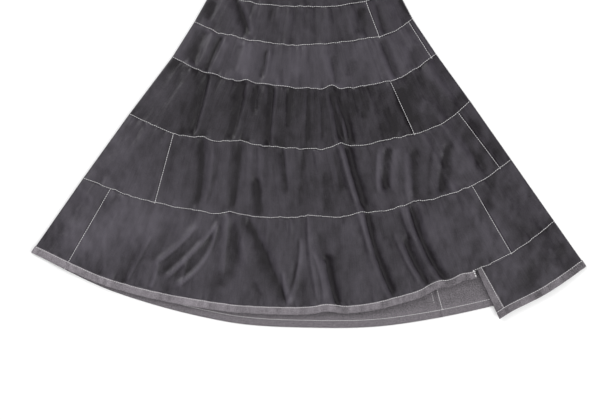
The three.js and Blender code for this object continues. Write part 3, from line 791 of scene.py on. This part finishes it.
def cloth_material(name, dark, light, roughness, gloss, crumple, heather):
    """Plain-woven cloth whose colour goes from dark to light with its tone attribute, which holds painted
    shade and highlight as well as slubs and uneven dye.
    """
    material, tree = empty_material(name)
    uv = node(tree, "ShaderNodeUVMap", uv_map="cloth").outputs["UV"]
    tone = node(tree, "ShaderNodeAttribute", attribute_name="tone").outputs["Fac"]
    # Slubs and uneven dye: threads run 30 to 60 mm before they change
    slubs = node(tree, "ShaderNodeTexNoise", {
        "Vector": node(tree, "ShaderNodeMapping", {"Vector": uv, "Scale": (420, 30, 1)}).outputs["Vector"],
        "Scale": 1.0, "Detail": 3.0,
    }).outputs["Fac"]
    mottle = node(tree, "ShaderNodeTexNoise", {"Vector": uv, "Scale": 70.0, "Detail": 4.0}).outputs["Fac"]
    grain = node(tree, "ShaderNodeTexNoise", {"Vector": uv, "Scale": 420.0, "Detail": 1.0}).outputs["Fac"]
    uneven = 0.24
    varied = tone
    for noise, share in ((slubs, uneven), (mottle, uneven), (grain, heather)):
        varied = node(tree, "ShaderNodeMath", {
            0: noise, 1: share, 2: varied,
        }, operation="MULTIPLY_ADD").outputs[0]
    middle = (uneven + uneven + heather) / 2
    varied = node(tree, "ShaderNodeMath", {
        0: varied, 1: middle,
    }, operation="SUBTRACT", use_clamp=True).outputs[0]
    colour = node(tree, "ShaderNodeMix", {0: varied, 6: linear(dark), 7: linear(light)}, data_type="RGBA")
    # Taffeta's weave is finer than the picture can show, so it is drawn at one rib a millimetre
    warp = node(tree, "ShaderNodeTexWave", {"Vector": uv, "Scale": 314.0}, bands_direction="X").outputs["Fac"]
    weft = node(tree, "ShaderNodeTexWave", {"Vector": uv, "Scale": 314.0}, bands_direction="Y").outputs["Fac"]
    weave = node(tree, "ShaderNodeMath", {0: warp, 1: weft}, operation="MULTIPLY").outputs[0]
    crisp = node(tree, "ShaderNodeTexNoise", {
        "Vector": node(tree, "ShaderNodeMapping", {"Vector": uv, "Scale": (60, 34, 1)}).outputs["Vector"],
        "Scale": 1.0, "Detail": 5.0, "Roughness": 0.55,
    }).outputs["Fac"]
    bumped = node(tree, "ShaderNodeBump", {"Height": crisp, "Distance": 0.0022, "Strength": crumple})
    woven = node(tree, "ShaderNodeBump", {
        "Height": weave, "Distance": 0.00008, "Strength": 0.5, "Normal": bumped.outputs["Normal"],
    })
    shader = node(tree, "ShaderNodeBsdfPrincipled", {
        "Base Color": colour.outputs[2], "Roughness": roughness, "IOR": 1.5,
        "Specular IOR Level": gloss, "Normal": woven.outputs["Normal"],
    })
    node(tree, "ShaderNodeOutputMaterial", {"Surface": shader.outputs["BSDF"]})
    return material


def thread_material(name, colour):
    """Matt twisted sewing thread."""
    material, tree = empty_material(name)
    place = node(tree, "ShaderNodeTexCoord").outputs["Object"]
    # The unevenness of twisted plies, about a millimetre apart
    ply = node(tree, "ShaderNodeTexNoise", {"Vector": place, "Scale": 900.0, "Detail": 2.0}).outputs["Fac"]
    twist = node(tree, "ShaderNodeBump", {"Height": ply, "Distance": 0.0002, "Strength": 0.6})
    shaded = node(tree, "ShaderNodeMix", {
        0: ply, 6: linear("#b4b2b4"), 7: linear(colour),
    }, data_type="RGBA")
    shader = node(tree, "ShaderNodeBsdfPrincipled", {
        "Base Color": shaded.outputs[2], "Roughness": 0.75, "Normal": twist.outputs["Normal"],
    })
    node(tree, "ShaderNodeOutputMaterial", {"Surface": shader.outputs["BSDF"]})
    return material


def material_for(key):
    """The skirt's materials, each made once."""
    colours = bpy.context.scene.skirt_colours
    makers = {
        # Yarn-dyed charcoal polyester taffeta: crisp, plain and dense, with a low soft sheen
        "charcoal taffeta": lambda name: cloth_material(
            name, colours.crease, colours.crest, roughness=0.36, gloss=0.24, crumple=0.6, heather=0.26),
        # Its reverse, which the weave leaves paler and duller
        "taffeta reverse": lambda name: cloth_material(
            name, colours.reverse_dark, colours.reverse,
            roughness=0.7, gloss=0.25, crumple=0.35, heather=1.0),
        # Spun polyester top-stitching thread
        "polyester thread": lambda name: thread_material(name, colours.thread),
    }
    return bpy.data.materials.get(key) or makers[key](key)


def dress(piece, nodes, keys):
    """Gives a piece its materials and its body, and hides the solids that it stands for."""
    for key in keys:
        piece.data.materials.append(material_for(key))
    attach(piece, "root")
    if nodes:
        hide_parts(*nodes)
    return piece


class Sizes:
    """The numbers of the scene's property groups, in millimetres."""

    def __init__(self, scene):
        cloth, stitching = scene.skirt_cloth, scene.skirt_stitching
        self.thin = cloth.thickness / MM
        self.body_height = cloth.body_height / MM
        self.crumple = cloth.crumple / MM
        self.pucker = cloth.pucker / MM
        self.column_step = cloth.column_step / MM
        self.row_step = cloth.row_step / MM
        self.pitch = stitching.pitch / MM
        self.width = stitching.width / MM
        self.lift = self.width / 4  # how far a thread's middle stands off the cloth
        self.beside = stitching.beside / MM


def keep_cut(piece, grid):
    """Keeps with a piece what it is cut as: its lower edge, its depth and its area, in metres."""
    middle, _ = middle_and_outward(grid, False)
    foot = np.linalg.norm(np.diff(middle[:, -1], axis=0), axis=1).sum()
    depth = np.linalg.norm(np.diff(middle, axis=1), axis=2).sum(axis=1)
    piece["cut"] = [foot * MM, depth.max() * MM, foot * depth.mean() * MM * MM]


def make_cloth(node_name, runs, sizes, closed=False, hemmed=False, keep_of=None):
    """The thin cloth that stands for one solid, so that its outside is where the solid's is."""
    grid = settle(lay_out(runs, even_rows(runs, sizes, hemmed), sizes), closed, hemmed)
    keep = keep_of(grid) if keep_of else None
    offset = (CLOTH - sizes.thin) / 2
    piece = cloth_object(f"{node_name}_cloth", grid, offset, sizes.thin, closed, keep)
    dress(piece, [node_name], ["charcoal taffeta", "taffeta reverse"])
    keep_cut(piece, grid)
    return piece


def rows_about(down):
    """A row with one close by on either side, which give it a direction."""
    return np.concatenate([down - 0.4, down, down + 0.4], axis=1)


def off_cloth(grid, sizes, lift, side, closed=False):
    """Points lifted off the outside of the cloth, or off its inside for side -1."""
    middle, outward = middle_and_outward(grid, closed)
    face = CLOTH / 2 if side > 0 else sizes.thin - CLOTH / 2
    return middle + outward * (face + side * lift)


def line_at(runs, sizes, down_of, lift, closed=False, hemmed=False, side=1):
    """Points along a piece at a distance down it, lifted off its outside, or its inside for side -1."""
    grid = settle(lay_out(runs, lambda depth: rows_about(down_of(depth)), sizes), closed, hemmed)
    return off_cloth(grid, sizes, lift, side, closed)[:, 1]


def beside_seam(runs, sizes, closed=False):
    """Points along the stitching just above a piece's lower seam."""
    return line_at(runs, sizes, lambda depth: depth - sizes.beside, sizes.lift, closed)


def line_down(run, sizes, column, lift, hemmed=False, side=1):
    """Points down a piece beside one of its ends."""
    grid = settle(lay_out([run], even_rows([run], sizes, hemmed), sizes), False, True)
    return off_cloth(grid, sizes, lift, side)[column]


def stitch_tree():
    """Geometry Nodes that set one stitch after another along the edges of a mesh."""
    tree = bpy.data.node_groups.get("stitches_along_edges")
    if tree:
        return tree
    tree = bpy.data.node_groups.new("stitches_along_edges", "GeometryNodeTree")
    tree.interface.new_socket("Geometry", in_out="INPUT", socket_type="NodeSocketGeometry")
    for label in ("Pitch", "Width", "Length"):
        tree.interface.new_socket(label, in_out="INPUT", socket_type="NodeSocketFloat")
    tree.interface.new_socket("Material", in_out="INPUT", socket_type="NodeSocketMaterial")
    tree.interface.new_socket("Geometry", in_out="OUTPUT", socket_type="NodeSocketGeometry")
    given = node(tree, "NodeGroupInput").outputs
    path = node(tree, "GeometryNodeMeshToCurve", {"Mesh": given["Geometry"]}).outputs[0]
    places = node(tree, "GeometryNodeCurveToPoints", {"Curve": path, "Length": given["Pitch"]}, mode="LENGTH")
    stitch = node(tree, "GeometryNodeMeshUVSphere", {"Segments": 6, "Rings": 5, "Radius": 0.5})
    shape = node(tree, "ShaderNodeCombineXYZ", {
        "X": given["Width"], "Y": given["Width"], "Z": given["Length"],
    })
    # Hand-like unevenness: each stitch is turned up to 4 degrees and is up to a tenth longer or shorter
    sway = node(tree, "FunctionNodeRandomValue", {
        "Min": (-0.07, -0.07, 0.0), "Max": (0.07, 0.07, 0.0), "Seed": 3,
    }, data_type="FLOAT_VECTOR")
    turned = node(tree, "FunctionNodeRotateRotation", {
        "Rotation": places.outputs["Rotation"],
    }, rotation_space="LOCAL")
    euler = node(tree, "FunctionNodeEulerToRotation", {"Euler": sway.outputs["Value"]})
    tree.links.new(euler.outputs[0], turned.inputs["Rotate By"])
    size = node(tree, "FunctionNodeRandomValue", {
        "Min": (0.92, 0.92, 0.9), "Max": (1.05, 1.05, 1.08), "Seed": 8,
    }, data_type="FLOAT_VECTOR")
    scaled = node(tree, "ShaderNodeVectorMath", {
        0: shape.outputs[0], 1: size.outputs["Value"],
    }, operation="MULTIPLY")
    row = node(tree, "GeometryNodeInstanceOnPoints", {
        "Points": places.outputs["Points"], "Instance": stitch.outputs["Mesh"],
        "Rotation": turned.outputs[0], "Scale": scaled.outputs[0],
    })
    solid = node(tree, "GeometryNodeRealizeInstances", {"Geometry": row.outputs[0]})
    smooth_faces = node(tree, "GeometryNodeSetShadeSmooth", {"Geometry": solid.outputs[0]})
    painted = node(tree, "GeometryNodeSetMaterial", {
        "Geometry": smooth_faces.outputs[0], "Material": given["Material"],
    })
    node(tree, "NodeGroupOutput", {"Geometry": painted.outputs[0]})
    return tree


def make_stitches(name, paths, sizes):
    """One mesh of all the stitches along some paths, each a list of points in millimetres."""
    points, edges, start = [], [], 0
    for path in paths:
        # On the underside the thread is pressed into the cloth that it lies on
        path = np.array(path)
        path[:, 2] = np.maximum(path[:, 2], sizes.width / 2 - 0.25)
        points.extend((path * MM).tolist())
        edges.extend((start + i, start + i + 1) for i in range(len(path) - 1))
        start += len(path)
    guide = bpy.data.meshes.new(name)
    guide.from_pydata(points, edges, [])
    piece = bpy.data.objects.new(name, guide)
    bpy.context.scene.collection.objects.link(piece)
    tree = stitch_tree()
    modifier = piece.modifiers.new("Stitches", "NODES")
    modifier.node_group = tree
    values = {
        "Pitch": sizes.pitch * MM, "Width": sizes.width * MM, "Length": 0.9 * sizes.pitch * MM,
        "Material": material_for("polyester thread"),
    }
    for item in tree.interface.items_tree:
        if item.in_out == "INPUT" and item.name in values:
            modifier[item.identifier] = values[item.name]
    depsgraph = bpy.context.evaluated_depsgraph_get()
    made = bpy.data.meshes.new_from_object(piece.evaluated_get(depsgraph))
    made.name = name
    piece.modifiers.clear()
    piece.data = made
    bpy.data.meshes.remove(guide)
    made.materials.clear()
    made.materials.append(material_for("polyester thread"))
    made.polygons.foreach_set("material_index", np.zeros(len(made.polygons), dtype=np.int32))
    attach(piece, "root")
    return piece


def give_sheet(piece):
    """Reads a piece's flat size and works out its area, no more than its width by its length."""
    width, length, area = piece["cut"]
    area = min(area, width * length)


class SkirtCloth(bpy.types.PropertyGroup):
    """The cloth and how it lies."""

    thickness: bpy.props.FloatProperty(
        name="Thickness", description="Of one layer of taffeta", default=0.0004, unit="LENGTH", precision=5)
    body_height: bpy.props.FloatProperty(
        name="Body height", description="Middle of the front above the ground", default=0.0085, unit="LENGTH",
        precision=5)
    crumple: bpy.props.FloatProperty(
        name="Crumple", description="Rise of the faint crumples", default=0.0008, unit="LENGTH", precision=5)
    pucker: bpy.props.FloatProperty(
        name="Pucker", description="Rise of the puckers at gathered seams", default=0.0016, unit="LENGTH",
        precision=5)
    column_step: bpy.props.FloatProperty(
        name="Column step", description="Between columns of facets on the front", default=0.0021,
        unit="LENGTH", precision=5)
    row_step: bpy.props.FloatProperty(
        name="Row step", description="Between rows of facets", default=0.0045, unit="LENGTH", precision=5)


class SkirtStitching(bpy.types.PropertyGroup):
    """The visible rows of thread."""

    pitch: bpy.props.FloatProperty(
        name="Pitch", description="From one stitch to the next", default=0.0044, unit="LENGTH", precision=5)
    width: bpy.props.FloatProperty(
        name="Width", description="Of a stitch of thick thread", default=0.0013, unit="LENGTH", precision=5)
    beside: bpy.props.FloatProperty(
        name="Beside", description="From a seam to the stitching beside it", default=0.0011, unit="LENGTH",
        precision=5)


class SkirtColours(bpy.types.PropertyGroup):
    """Colours as sRGB hex."""

    # Crease and crest, and reverse dark and reverse, are the ends that the tone mixes between: painted shade
    # and painted highlight, and slubs and uneven dye
    crease: bpy.props.StringProperty(
        name="Crease", description="Charcoal where the cloth falls into a crease", default="#110c12")
    crest: bpy.props.StringProperty(
        name="Crest", description="Charcoal where the cloth rises", default="#545058")
    reverse_dark: bpy.props.StringProperty(
        name="Reverse dark", description="Reverse in a crease", default="#3d3a3d")
    reverse: bpy.props.StringProperty(name="Reverse", description="Paler reverse", default="#928c92")
    thread: bpy.props.StringProperty(name="Thread", description="Off-white thread", default="#efedee")


class SkirtOperator:
    bl_options = {"REGISTER", "UNDO"}


class SKIRT_OT_waistband(SkirtOperator, bpy.types.Operator):
    """Builds the ruffled elastic waistband and its rows of stitching"""

    bl_idname = "skirt.waistband"
    bl_label = "Waistband"

    def execute(self, context):
        sizes = Sizes(context.scene)
        runs = ring(WAIST, sizes)
        band = make_cloth("waistband", runs, sizes, closed=True)
        rows = [
            line_at(runs, sizes, lambda depth, at=at: at * depth, sizes.lift, True)
            for at in (0.3, 0.62)
        ]
        rows.append(beside_seam(runs, sizes, True))
        stitches = make_stitches("waistband_stitches", rows, sizes)
        give_sheet(band)
        return {"FINISHED"}


class SKIRT_OT_yoke(SkirtOperator, bpy.types.Operator):
    """Builds the yoke below the waistband"""

    bl_idname = "skirt.yoke"
    bl_label = "Yoke"

    def execute(self, context):
        sizes = Sizes(context.scene)
        runs = ring(YOKE_TOP, sizes)
        yoke = make_cloth("yoke", runs, sizes, closed=True)
        stitches = make_stitches("yoke_stitches", [beside_seam(runs, sizes, True)], sizes)
        give_sheet(yoke)
        return {"FINISHED"}


class SKIRT_OT_strips(SkirtOperator, bpy.types.Operator):
    """Builds the nine pieces of the gathered strip that winds round the body, with their stitching"""

    bl_idname = "skirt.strips"
    bl_label = "Spiral strips"

    def execute(self, context):
        sizes = Sizes(context.scene)
        for name, make_runs in STRIPS.items():
            runs = make_runs(sizes)
            hemmed = name in HEMMED
            keep_of = short_of_hem_stop if name == "strip_7" else None
            piece = make_cloth(name, runs, sizes, hemmed=hemmed, keep_of=keep_of)
            paths = []
            if not hemmed:
                paths.append(beside_seam(runs, sizes))
            if name == "strip_7":
                paths.append(beside_seam(runs[1:], sizes))
            if name in STITCHED_STARTS:
                paths.append(line_down(runs[0], sizes, 1, sizes.lift, hemmed))
            if name in STITCHED_ENDS:
                paths.append(line_down(runs[-1], sizes, -2, sizes.lift))
            if hemmed and name != "strip_7":
                paths.append(line_at(runs, sizes, lambda depth: depth + HEM_ROW_INSIDE, INSIDE_LIFT,
                                     hemmed=True, side=-1))
            if name == "strip_9":
                paths.append(line_down(runs[2], sizes, -2, INSIDE_LIFT, side=-1))
            stitches = make_stitches(f"{name}_stitches", paths, sizes)
            give_sheet(piece)
        return {"FINISHED"}


class SKIRT_OT_hems(SkirtOperator, bpy.types.Operator):
    """Builds the cloth turned up on the outside of the hem and of the strip's short end"""

    bl_idname = "skirt.hems"
    bl_label = "Turned hems"

    def execute(self, context):
        sizes = Sizes(context.scene)
        offset = CLOTH / 2 + SEAM_GAP + TURN_CLOTH / 2 + (TURN_CLOTH - sizes.thin) / 2
        runs = last_strip(sizes) + back_hem_strip(sizes) + [hemmed_front(sizes)]

        def hem_rows(depth):
            share = np.array([0, 0.06, 0.16, 0.3, 0.5, 0.7, 0.85, 0.94, 1])
            return depth + share * HEM_TURN

        grid = lay_out(runs, hem_rows, sizes)
        past = (grid["down"] - grid["depth"]) / HEM_TURN
        along = np.cumsum(np.full(grid["x"].shape[0], sizes.column_step))[:, None]
        plump = 0.35 * np.sqrt(np.clip(np.sin(np.pi * past), 0, 1))
        puckers = 0.3 * noise_1d(along, 7, 41) + 0.2 * noise_1d(along + 3 * past, 3.6, 42)
        puckers = puckers * np.sin(np.pi * past)
        # The turned cloth comes down to the hem's own lower edge
        ends = -0.25 * np.exp(-past / 0.06) - 0.5 * np.exp(-(1 - past) / 0.08)
        # Paler to the left, with painted shade and highlight on the puckers, and darker where the seam
        # allowances of a join lie under it
        grid["tone"] = grid["tone"] + 0.15 + 0.5 * puckers - HEM_TONE_SLOPE * grid["x"] * (grid["facing"] > 0)
        grid["tone"] = grid["tone"] - 0.25 * bell((grid["x"] - HEM_JOIN_X) / 4)
        turned = cloth_object("hem_turnup_cloth", grid, offset + plump + puckers + ends - 0.3, sizes.thin)
        dress(turned, ["hem_turnup"], ["taffeta reverse", "charcoal taffeta"])
        keep_cut(turned, grid)

        line = lay_out(runs, lambda depth: rows_about(depth + HEM_ROW), sizes)
        middle, outward = middle_and_outward(line, False)
        paths = [(middle + outward * (offset + sizes.lift + INSIDE_LIFT))[:, 1]]
        # A bar tack of close threads at the front hem's end
        middle, outward = middle_and_outward(grid, False)
        surface = middle + outward * (offset + plump + 0.6)[..., None]
        bar = surface[-1, 1:6]
        paths.extend(bar - np.array([shift, 0.0, 0.0]) for shift in (1.0, 1.6, 2.2, 2.8))
        stitches = make_stitches("hem_stitches", paths, sizes)
        give_sheet(turned)

        inner = tuple(STRIP_END[i] + END_TURN[i] / width_of(front_line, HEM_STITCHING + i) for i in (0, 1))

        def end_rows(depth):
            return mix(SEAM_GAP / 2, depth - 1.5 * SEAM_GAP, np.linspace(0, 1, 24))

        band = lay_out([front_run(HEM_STITCHING, STRIP_END, inner, sizes)], end_rows, sizes)
        band["tone"] = band["tone"] + 0.04
        end = cloth_object("end_turnup_cloth", band, offset, sizes.thin)
        dress(end, ["end_turnup"], ["taffeta reverse", "charcoal taffeta"])
        keep_cut(end, band)
        middle, outward = middle_and_outward(band, False)
        row = (middle + outward * (offset + sizes.lift))[-2]
        end_stitches = make_stitches("end_stitches", [row], sizes)
        give_sheet(end)
        return {"FINISHED"}


def direction_turn(facing):
    """The turn that points a light's or a camera's own -Z along a direction."""
    length = np.linalg.norm(facing)
    tilt = np.arccos(-facing[2] / length)
    return (float(tilt), 0.0, float(np.arctan2(-facing[0], facing[1])))


def area_light(name, place, target, size, power):
    """A square soft light that points at a target."""
    data = bpy.data.lights.new(name, "AREA")
    data.shape, data.size, data.energy = "SQUARE", size, power
    light = bpy.data.objects.new(name, data)
    light.location = place
    facing = np.array(target) - np.array(place)
    light.rotation_euler = direction_turn(facing)
    bpy.context.scene.collection.objects.link(light)


class SKIRT_OT_stage(SkirtOperator, bpy.types.Operator):
    """Sets the white ground, the soft lights and the camera above the skirt"""

    bl_idname = "skirt.stage"
    bl_label = "Stage"

    def execute(self, context):
        scene = context.scene
        half, ground = 14.0, -0.0003
        mesh = bpy.data.meshes.new("floor")
        corners = [(x * half, y * half, ground) for x, y in ((-1, -1), (1, -1), (1, 1), (-1, 1))]
        mesh.from_pydata(corners, [], [(0, 1, 2, 3)])
        floor = bpy.data.objects.new("floor", mesh)
        scene.collection.objects.link(floor)
        paper = bpy.data.materials.new("white paper ground")
        paper.use_nodes = True
        shader = paper.node_tree.nodes["Principled BSDF"]
        shader.inputs["Base Color"].default_value = linear("#fbfbfb")
        shader.inputs["Roughness"].default_value = 0.9
        mesh.materials.append(paper)

        middle = (0.0, 0.0, 0.0)
        area_light("key", (-1.6, 1.6, 2.0), middle, 1.4, 43)
        area_light("fill", (1.9, -1.2, 1.9), middle, 1.8, 36)
        area_light("overhead", (0.0, -0.2, 3.5), middle, 3.0, 30)
        world = bpy.data.worlds.new("studio")
        world.use_nodes = True
        world.node_tree.nodes["Background"].inputs["Color"].default_value = (1, 1, 1, 1)
        world.node_tree.nodes["Background"].inputs["Strength"].default_value = 0.45
        scene.world = world
        scene.view_settings.view_transform = "Standard"

        data = bpy.data.cameras.new("camera")
        data.sensor_fit, data.sensor_width, data.lens = "HORIZONTAL", 36.0, 96.0
        camera = bpy.data.objects.new("camera", data)
        camera.location = (-0.0154, -0.1455, 3.2)
        scene.collection.objects.link(camera)
        scene.camera = camera
        return {"FINISHED"}


class SKIRT_PT_panel(bpy.types.Panel):
    bl_label = "Skirt"
    bl_idname = "SKIRT_PT_panel"
    bl_space_type = "VIEW_3D"
    bl_region_type = "UI"
    bl_category = "Skirt"

    def draw(self, context):
        for group in (context.scene.skirt_cloth, context.scene.skirt_stitching, context.scene.skirt_colours):
            for name in group.__annotations__:
                self.layout.prop(group, name)
        for operator in OPERATORS:
            self.layout.operator(operator.bl_idname)


OPERATORS = (SKIRT_OT_waistband, SKIRT_OT_yoke, SKIRT_OT_strips, SKIRT_OT_hems, SKIRT_OT_stage)
GROUPS = {"skirt_cloth": SkirtCloth, "skirt_stitching": SkirtStitching, "skirt_colours": SkirtColours}


def register():
    for cls in (*GROUPS.values(), *OPERATORS, SKIRT_PT_panel):
        bpy.utils.register_class(cls)
    for name, cls in GROUPS.items():
        setattr(bpy.types.Scene, name, bpy.props.PointerProperty(type=cls))


def unregister():
    for name in GROUPS:
        delattr(bpy.types.Scene, name)
    for cls in (SKIRT_PT_panel, *reversed(OPERATORS), *GROUPS.values()):
        bpy.utils.unregister_class(cls)


def main():
    register()
    bpy.ops.skirt.waistband()
    bpy.ops.skirt.yoke()
    bpy.ops.skirt.strips()
    bpy.ops.skirt.hems()
    bpy.ops.skirt.stage()


if __name__ == "__main__":
    main()
